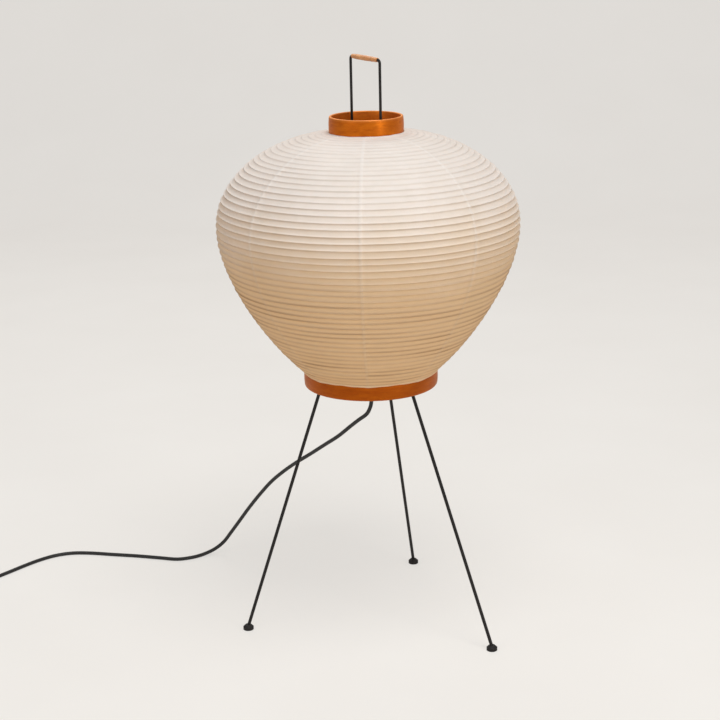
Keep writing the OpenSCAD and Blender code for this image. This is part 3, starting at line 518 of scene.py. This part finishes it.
def coil_line():
    """In through the lower layer, up in the half turn where it reverses, out through the upper."""
    turn = COIL_TURNS * 360
    line = []
    for a in np.arange(0, 2 * turn + 0.1, COIL_STEP):
        r = COIL_INNER + COIL_PITCH * abs(a - turn) / 360
        rise = min(1, max(0, (a - turn + 90) / 180))
        rise = rise * rise * (3 - 2 * rise)
        x = COIL_X + r * math.cos(math.radians(a))
        y = COIL_Y - r * math.sin(math.radians(a))
        line.append((x, y, COIL_Z + COIL_PITCH * rise))
    return line


def add_cord():
    """The lead, down its route, round its coil and on to the plug."""
    line = through(ROUTE, ROUTE_STEPS)[:-1] + coil_line() + through(TAIL, TAIL_STEPS)
    line = np.array(line) * MM
    line[:, 2] = np.maximum(line[:, 2], CORD_R)
    keep = [0]
    for i in range(1, len(line)):
        if np.linalg.norm(line[i] - line[keep[-1]]) > LEAST_STEP:
            keep.append(i)
    line = line[keep]
    ob = tube("lead", line, CORD_R, CORD)
    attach(ob, "stand")
    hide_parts("mains_cord", "switch_lead", "cord_coil", "plug_lead")


add_cord()


# ---- the shade's meridian, as the frame has it --------------------------------------------

# Heights of the top seam, of the paper's foot and of the belly, in millimetres
SEAM_Z, FOOT_Z, BELLY_Z = 755.5, 400.0, 622.0
# Radii of the paper at the top seam, at its foot and at the belly
TOP_R, RING_R, BELLY_R = 55.15, 102.1, 225.0
TOP_RING_R, BOTTOM_RING_R = 55.0, 101.0
RIBS = 50
SHOULDER_SLOPE, SKIRT_SLOPE = math.radians(2), math.radians(39)
SHOULDER_FULLNESS, SKIRT_FULLNESS = 0.49, 0.42
UPPER_FULLNESS, LOWER_FULLNESS = 0.57, 0.38
MERIDIAN_STEPS = 400


def bezier(p):
    """Points along the curve that the four points shape."""
    p = np.asarray(p, float)
    return [
        (1 - t) ** 3 * p[0] + 3 * (1 - t) ** 2 * t * p[1] + 3 * (1 - t) * t * t * p[2] + t**3 * p[3]
        for t in np.linspace(0, 1, MERIDIAN_STEPS)
    ]


def meridian():
    """Points at the top seam, at each rib and at the bottom ring, as the frame spaces them."""
    top, belly, foot = (np.array(v) for v in ((TOP_R, SEAM_Z), (BELLY_R, BELLY_Z), (RING_R, FOOT_Z)))
    shoulder = SHOULDER_FULLNESS * (BELLY_R - TOP_RING_R)
    skirt = SKIRT_FULLNESS * (BELLY_R - BOTTOM_RING_R)
    from_top = top + shoulder * np.array((math.cos(SHOULDER_SLOPE), -math.sin(SHOULDER_SLOPE)))
    from_foot = foot + skirt * np.array((math.cos(SKIRT_SLOPE), math.sin(SKIRT_SLOPE)))
    above_belly = belly + (0, UPPER_FULLNESS * (SEAM_Z - BELLY_Z))
    below_belly = belly - (0, LOWER_FULLNESS * (BELLY_Z - FOOT_Z))
    upper = bezier([top, from_top, above_belly, belly])
    lower = bezier([belly, below_belly, from_foot, foot])
    line = np.array(upper + lower[1:])
    length = np.concatenate(([0], np.cumsum(np.linalg.norm(np.diff(line, axis=0), axis=1))))
    at = np.linspace(0, length[-1], RIBS + 2)
    return np.stack([np.interp(at, length, line[:, k]) for k in (0, 1)], 1)


RIDGES = meridian()


# ---- the paper and its ribs -----------------------------------------------------------------

GORES = 8
GORE_ANGLE = 2 * math.pi / GORES
# The angle of the first seam
GORE_TURN = math.radians(-92)
# Width of the strip where two gores overlap, and how far past it the next points lie, in
# millimetres
STRIP = 4.0
STRIP_EDGE = 0.5
# Steps of the paper's grid from strip to strip, and from rib to rib
GORE_STEPS = 30
BAY_STEPS = 8
# The sag at the top, and what it gains down to the bay given, in millimetres
LEAST_SAG, MORE_SAG = 0.5, 0.95
SAG_BAYS = 15
# Bays in from either ring over which the sag grows to its full depth
RING_BAYS = 3
# How far the skin lies inside the meridian, and a rib's outer face inside the skin
SKIN_IN = 0.25
RIB_BEHIND = 0.85
RIB_HALF_W, RIB_HALF_T = 0.84, 0.62
RIB_SEGMENTS, RIB_CORNERS = 144, 8
# What a rib's lapped ends add to its half thickness
RIB_LAP = 0.35

rng = np.random.RandomState(11)
OUT_WAVE = rng.uniform(-1, 1, (RIBS + 2, 6))
UP_WAVE = rng.uniform(-1, 1, (RIBS + 2, 7))
SLACK = 0.8 + 0.4 * rng.uniform(0, 1, (RIBS + 1, GORES))
SINK = rng.uniform(-0.16, 0.16, (RIBS + 2, GORES))
SINK[0], SINK[-1] = 0, 0
SHADE = rng.uniform(0.45, 1.1, (RIBS + 1, GORES))


def wander_out(i, angle):
    """How far ridge i stands out of true at an angle, in millimetres."""
    w = OUT_WAVE[i]
    return 0.16 * (w[0] * math.sin(2 * angle + 3 * w[1]) + w[2] * math.sin(5 * angle + 3 * w[3])
                   + 0.6 * w[4] * math.sin(11 * angle + 3 * w[5]))


def wander_down(i, angle):
    """How far ridge i lies down the paper from its even place at an angle, in millimetres."""
    if i in (0, RIBS + 1):
        return 0.0
    w = UP_WAVE[i]
    return (0.42 * w[6] + 0.34 * w[0] * math.sin(angle + 3 * w[1])
            + 0.26 * w[2] * math.sin(3 * angle + 3 * w[3]) + 0.14 * w[4] * math.sin(8 * angle + 3 * w[5]))


def inward_at(i):
    """The way into the shade at ridge i."""
    p = RIDGES
    d = p[min(i + 1, len(p) - 1)] - p[max(i - 1, 0)]
    d = d / np.linalg.norm(d)
    return np.array((d[1], -d[0]))


def gore_columns():
    """Where the paper's columns of points lie: for each, its gore, its millimetres from the seam
    where it belongs to the overlap, and its share of the rest of the gore."""
    edge = STRIP / 2 + STRIP_EDGE
    columns = []
    for g in range(GORES):
        for offset in (-edge, -STRIP / 2, 0.0, STRIP / 2, edge):
            columns.append((g, offset, None))
        for k in range(1, GORE_STEPS):
            columns.append((g, None, k / GORE_STEPS))
    return columns


def column_angle(column, r):
    """The angle of a column of points at a radius."""
    g, offset, share = column
    start = GORE_TURN + g * GORE_ANGLE
    if offset is not None:
        return start + offset / r
    edge = (STRIP / 2 + STRIP_EDGE) / r
    return start + edge + share * (GORE_ANGLE - 2 * edge)


def on_strip(column):
    """Whether a column of points lies where two gores overlap."""
    return column[1] is not None and abs(column[1]) <= STRIP / 2


def gore_value(table, i, column):
    """The gore's own value, turned to the next gore's across the overlap."""
    g, offset, _ = column
    if offset is None:
        return table[i][g]
    t = min(1, max(0, (offset + STRIP / 2) / STRIP))
    return (1 - t) * table[i][g - 1] + t * table[i][g]


def out_of_true(i, angle, column):
    """How far ridge i stands in or out here; the paper's two edges lie true."""
    if i in (0, RIBS + 1):
        return 0
    return wander_out(i, angle) + gore_value(SINK, i, column)


def rib_shade(i, u):
    """How much painted shade, partly the rib behind seen through the paper, darkens the paper at share u
    of bay i: under the ridge up on the shoulder, over it down on the skirt."""
    low = min(1.0, max(0.0, (i - 20) / 12))
    under = math.exp(-(((u - 0.09) / 0.1) ** 2)) if i else 0.0
    over = math.exp(-(((u - 0.93) / 0.1) ** 2)) + (math.exp(-(((u + 0.07) / 0.1) ** 2)) if i else 0.0)
    return (1 - low) * under + low * over


def add_paper():
    """The shade's skin: one surface from the top ring to the bottom one, with the seams' strips."""
    columns = gore_columns()
    cuts = [0.5 - 0.5 * math.cos(math.pi * j / BAY_STEPS) for j in range(BAY_STEPS)]
    verts, ridge, seam = [], [], []

    # The upper edge turns up a little against the top ring
    for rise in (1.3, 0.7):
        for column in columns:
            angle = column_angle(column, TOP_R)
            tip = rise * (1 + 0.12 * math.sin(7 * angle) + 0.06 * math.sin(17 * angle + 1))
            r = TOP_R + 0.12
            verts.append((r * math.cos(angle), r * math.sin(angle), SEAM_Z + tip))
            ridge.append(0.0)
            seam.append(1.0)

    # Between two ribs the paper sags
    for i in range(RIBS + 1):
        a, b = RIDGES[i], RIDGES[i + 1]
        na, nb = inward_at(i), inward_at(i + 1)
        along = (b - a) / np.linalg.norm(b - a)
        normal = np.array((along[1], -along[0]))
        near_ring = min(1, (i + 1) / RING_BAYS, (RIBS - i) / RING_BAYS)
        depth = LEAST_SAG + MORE_SAG * min(1.0, i / SAG_BAYS) ** 1.5
        for u in cuts:
            base = (1 - u) * a + u * b
            hollow = 1 - abs(2 * u - 1) ** 3.2
            for column in columns:
                angle = column_angle(column, base[0])
                sag = depth * gore_value(SLACK, i, column) * hollow
                if on_strip(column):
                    sag = sag * 0.86 - 0.1
                da, db = out_of_true(i, angle, column), out_of_true(i + 1, angle, column)
                down = (1 - u) * wander_down(i, angle) + u * wander_down(i + 1, angle)
                shift = (1 - u) * da + u * db
                p = (base + along * down + normal * sag * near_ring
                     + ((1 - u) * na + u * nb) * (shift + SKIN_IN))
                verts.append((p[0] * math.cos(angle), p[0] * math.sin(angle), p[1]))
                # Painted shade along the ribs
                ridge.append(rib_shade(i, u) * gore_value(SHADE, i, column)
                             * (0.85 + 0.25 * math.sin(5 * angle + 40 * SHADE[i][0])))
                seam.append(1.0 if on_strip(column) else 0.0)

    # The lower edge laps over the bottom ring, lower where two gores meet
    r = RING_R - SKIN_IN
    for share in (0.0, 0.5, 1.0):
        for column in columns:
            angle = column_angle(column, r)
            turn = (angle - GORE_TURN) / GORE_ANGLE
            mid = 1 - abs(2 * (turn - math.floor(turn)) - 1)
            drop = 3.3 - 1.4 * mid + 0.2 * math.sin(23 * angle)
            out = r + (0.12 if on_strip(column) else 0)
            verts.append((out * math.cos(angle), out * math.sin(angle), FOOT_Z - share * drop))
            ridge.append(0.0)
            seam.append(1.0 if on_strip(column) else 0.0)

    faces = grid_faces(len(verts) // len(columns), len(columns))
    ob = add_mesh(
        "paper_skin",
        np.array(verts) * MM,
        [f[::-1] for f in faces],
        PAPER,
        attributes={"ridge": ridge, "seam": seam, "height": [v[2] * MM for v in verts]},
    )
    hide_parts(*["paper_gore_%d" % (n + 1) for n in range(GORES)])
    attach(ob, "stand")
    return ob


def add_ribs():
    """Split bamboo hoops under the ridges, each a little uneven, with its lapped ends."""
    verts, faces = [], []
    for k in range(1, RIBS + 1):
        way = inward_at(k)
        centre = RIDGES[k] + way * (RIB_BEHIND + SKIN_IN + RIB_HALF_T)
        down = np.array((-way[1], way[0]))
        start = rng.uniform(0, 2 * math.pi)
        first = len(verts)
        for s in range(RIB_SEGMENTS):
            angle = 2 * math.pi * s / RIB_SEGMENTS
            wave = 0.1 * math.sin(3 * angle + start) + 0.06 * math.sin(7 * angle + 2 * start)
            shift = down * wander_down(k, angle)
            lap = math.exp(-(((angle - start + math.pi) % (2 * math.pi) - math.pi) / 0.06) ** 2)
            for c in range(RIB_CORNERS):
                t = 2 * math.pi * (c + 0.5) / RIB_CORNERS
                across = RIB_HALF_W * math.cos(t)
                deep = (RIB_HALF_T + RIB_LAP * lap) * math.sin(t)
                p = centre + shift + down * across + way * (deep + RIB_LAP * lap) + np.array((wave, 0))
                verts.append((p[0] * math.cos(angle), p[0] * math.sin(angle), p[1]))
        for s in range(RIB_SEGMENTS):
            for c in range(RIB_CORNERS):
                a, b = s * RIB_CORNERS + c, s * RIB_CORNERS + (c + 1) % RIB_CORNERS
                d = ((s + 1) % RIB_SEGMENTS) * RIB_CORNERS
                faces.append((first + a, first + b, first + d + (c + 1) % RIB_CORNERS, first + d + c))
    ob = add_mesh("rib_hoops", np.array(verts) * MM, faces, BAMBOO)
    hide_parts("bamboo_ribs")
    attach(ob, "stand")
    return ob


for piece in (add_paper(), add_ribs()):
    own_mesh(piece)


# ---- the bentwood rings and the grip ------------------------------------------------------

# How far down a ring the painted highlight on its upper rim reaches, in metres
RIM_HIGHLIGHT_REACH = 0.0011


def arc(cx, cz, r, start, end, steps):
    """Points of an arc about a centre, from one angle to another, in degrees."""
    turns = [math.radians(start + (end - start) * k / steps) for k in range(steps + 1)]
    return [(cx + r * math.cos(a), cz + r * math.sin(a)) for a in turns]


def ring_profile(outer, wall, low, height, low_round, top_round, bulge):
    """The section of a bent ring, anticlockwise from its inner lower edge, in metres."""
    inner = outer - wall
    high = low + height
    points = arc(inner + 1, low + 1, 1, 180, 270, 4)
    points += arc(outer - bulge - low_round, low + low_round, low_round, 270, 350, 8)
    z0, z1 = low + low_round, high - top_round
    for k in range(1, 10):
        t = k / 10
        points.append((outer - bulge * (2 * t - 1) ** 2, z0 + (z1 - z0) * t))
    points += arc(outer - bulge - top_round, high - top_round, top_round, 5, 90, 6)
    points += arc(inner + top_round, high - top_round, top_round, 90, 180, 6)
    return [(r * MM, z * MM) for r, z in points]


def add_ring(name, node, body, profile):
    """A bent ring with a painted highlight along its upper rim."""
    top = max(z for _, z in profile)
    rim = [math.exp(-(((top - z) / RIM_HIGHLIGHT_REACH) ** 2)) for _, z in profile]
    ob = revolve(name, profile, WOOD, {"rim": rim})
    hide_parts(node)
    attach(ob, body)


top_section = ring_profile(TOP_RING_R, 4.5, 751.0, 29.0, 2.4, 1.5, 0.7)
bottom_section = ring_profile(BOTTOM_RING_R, 6.0, 375, 25, 3.6, 1.5, 0.5)
add_ring("top_hoop", "top_ring", "stand", top_section)
add_ring("bottom_hoop", "bottom_ring", "lifting_ring", bottom_section)

GRIP_HALF = 37.5
GRIP_BORE = 2.05
GRIP_Z = 863.0
GRIP_END_R, GRIP_SWELL = 3.2, 0.6
# The nodes' places along the grip, each as a share of its half
GRIP_NODES = (-0.62, 0.58)
GRIP_STEPS = 40
GRIP_SEGMENTS = 40


def add_grip():
    """A stem of thin bamboo on the handle's bar, with a node ring near either end."""
    profile, ring = [(GRIP_BORE, -GRIP_HALF)], [0.0]
    for k in range(-GRIP_STEPS, GRIP_STEPS + 1):
        x = k / GRIP_STEPS
        swell = GRIP_END_R + GRIP_SWELL * (1 - x * x)
        edge = min(1.0, (1 - abs(x)) / 0.03)
        node = sum(math.exp(-(((x - c) / 0.018) ** 2)) for c in GRIP_NODES)
        wave = 0.07 * math.sin(9 * x + 1) + 0.05 * math.sin(23 * x)
        profile.append((swell - 0.45 * (1 - edge) + 0.22 * node + wave, x * GRIP_HALF))
        ring.append(min(1.0, node + 0.3 * (1 - edge)))
    profile.append((GRIP_BORE, GRIP_HALF))
    ring.append(0.0)
    way = np.array((math.cos(-HANDLE_TURN), math.sin(-HANDLE_TURN), 0))
    side = np.array((-way[1], way[0], 0))
    up = np.array((0, 0, 1.0))
    centre = np.array((0, 0, GRIP_Z))
    verts, marks = [], []
    for (r, x), mark in zip(profile, ring):
        for s in range(GRIP_SEGMENTS):
            a = 2 * math.pi * s / GRIP_SEGMENTS
            uneven = 1 + (0.03 * math.sin(2 * a + x * 0.05) if r > GRIP_BORE else 0)
            verts.append(centre + way * x + r * uneven * (math.cos(a) * side + math.sin(a) * up))
            marks.append(mark)
    faces = grid_faces(len(profile), GRIP_SEGMENTS, closed_rows=True)
    ob = add_mesh("cane_grip", np.array(verts) * MM, faces, CANE, attributes={"ring": marks})
    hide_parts("handle_grip")
    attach(ob, "stand")


add_grip()


# ---- the frame's own nodes ----------------------------------------------------------------

for part in frame["record"]["subparts"]:
    node = NODES[part["node"]]
    for material_slot in node.material_slots:
        material_slot.link = "OBJECT"
        material_slot.material = FINISH[part["material_slot"]]
for name in ("mains_cord", "switch_lead", "cord_coil", "plug_lead"):
    for material_slot in NODES[name].material_slots:
        material_slot.material = CORD


# ---- floor, backdrop and light --------------------------------------------------------------

WARM_FLOOR = (214, 184, 148), (220, 190, 154)
PALE_FLOOR = (228, 223, 215), (234, 230, 223)
FLOOR_GLOW = (247, 245, 242)
# The share of the floor that the camera sees as it is, without light or shadow
GLOW_SHARE = 0.6
FLOOR_FRONT, FLOOR_BACK = -6.0, 3.0
SWEEP_R = 1.5
SWEEP_STEPS = 12
BACKDROP_TOP = 6.0
BACKDROP_HALF = 8.0
AMBIENT = 0.42


def sweep_material():
    """Warm for the light that bounces off it, and pale and partly unlit where it is seen."""
    m = Nodes("pale_sweep")
    tone = m.ramp(m.noise(m.coords(), 3, 3), 0.3, 0.7)
    path = m.add("ShaderNodeLightPath")
    seen = m.plus(path.outputs["Is Camera Ray"], path.outputs["Is Glossy Ray"])
    seen = m.math("ADD", seen, path.outputs["Is Transmission Ray"], clamp=True)
    warm = m.mix(tone, srgb(*WARM_FLOOR[0]), srgb(*WARM_FLOOR[1]))
    pale = m.mix(tone, srgb(*PALE_FLOOR[0]), srgb(*PALE_FLOOR[1]))
    m.set(Base_Color=m.mix(seen, warm, pale), Roughness=0.9)
    glow = m.add("ShaderNodeEmission")
    glow.inputs["Color"].default_value = srgb(*FLOOR_GLOW)
    m.blend(m.times(seen, GLOW_SHARE), m.shader, glow)
    return m.mat


def add_sweep():
    """A floor that curves up into a backdrop."""
    line = [(FLOOR_FRONT, 0.0), (FLOOR_BACK, 0.0)]
    for k in range(1, SWEEP_STEPS + 1):
        a = math.radians(90 * k / SWEEP_STEPS)
        line.append((FLOOR_BACK + SWEEP_R * math.sin(a), SWEEP_R - SWEEP_R * math.cos(a)))
    line.append((FLOOR_BACK + SWEEP_R, BACKDROP_TOP))
    verts = [(x, y, z) for y, z in line for x in (-BACKDROP_HALF, BACKDROP_HALF)]
    faces = grid_faces(len(line), 2, closed_columns=False)
    ob = add_mesh("sweep", verts, faces, sweep_material())


def add_area(name, place, look_at, size, power, colour):
    """A rectangular light at a place, turned to a point, with its power in watts."""
    data = bpy.data.lights.new(name, "AREA")
    data.shape = "RECTANGLE"
    data.size, data.size_y = size
    data.energy = power
    data.color = colour
    ob = bpy.data.objects.new(name, data)
    bpy.context.scene.collection.objects.link(ob)
    ob.location = place
    ob.rotation_euler = (Vector(look_at) - Vector(place)).to_track_quat("-Z", "Y").to_euler()


def add_world():
    """A faint cool light from all round, which the camera sees as white."""
    world = bpy.data.worlds.new("world")
    bpy.context.scene.world = world
    world.use_nodes = True
    tree = world.node_tree
    tree.nodes.clear()
    out = tree.nodes.new("ShaderNodeOutputWorld")
    mix = tree.nodes.new("ShaderNodeMixShader")
    path = tree.nodes.new("ShaderNodeLightPath")
    ambient, seen = (tree.nodes.new("ShaderNodeBackground") for _ in range(2))
    ambient.inputs[0].default_value = (0.96, 0.98, 1.0, 1)
    ambient.inputs[1].default_value = AMBIENT
    seen.inputs[0].default_value = (1, 1, 1, 1)
    seen.inputs[1].default_value = 1.0
    tree.links.new(path.outputs["Is Camera Ray"], mix.inputs[0])
    tree.links.new(ambient.outputs[0], mix.inputs[1])
    tree.links.new(seen.outputs[0], mix.inputs[2])
    tree.links.new(mix.outputs[0], out.inputs["Surface"])


add_sweep()
add_area("key", (0.5, -1.1, 3.2), (0, 0, 0.6), (1.5, 1.5), 52, (1.0, 0.99, 0.98))
add_area("side", (1.9, -1.9, 0.9), (0, 0, 0.6), (0.5, 1.5), 13, (1.0, 0.96, 0.9))
add_area("fill", (-2.3, -2.2, 1.6), (0, 0, 0.5), (1.6, 1.6), 14, (1.0, 0.96, 0.92))
add_area("bounce", (0.1, -1.7, 0.12), (0, 0, 0.5), (1.6, 0.6), 2, (1.0, 0.88, 0.76))
add_area("rim", (-0.6, 2.2, 2.4), (0, 0, 0.6), (1.6, 1.2), 14, (1.0, 0.99, 0.97))
add_world()
bpy.context.scene.view_settings.view_transform = "Standard"
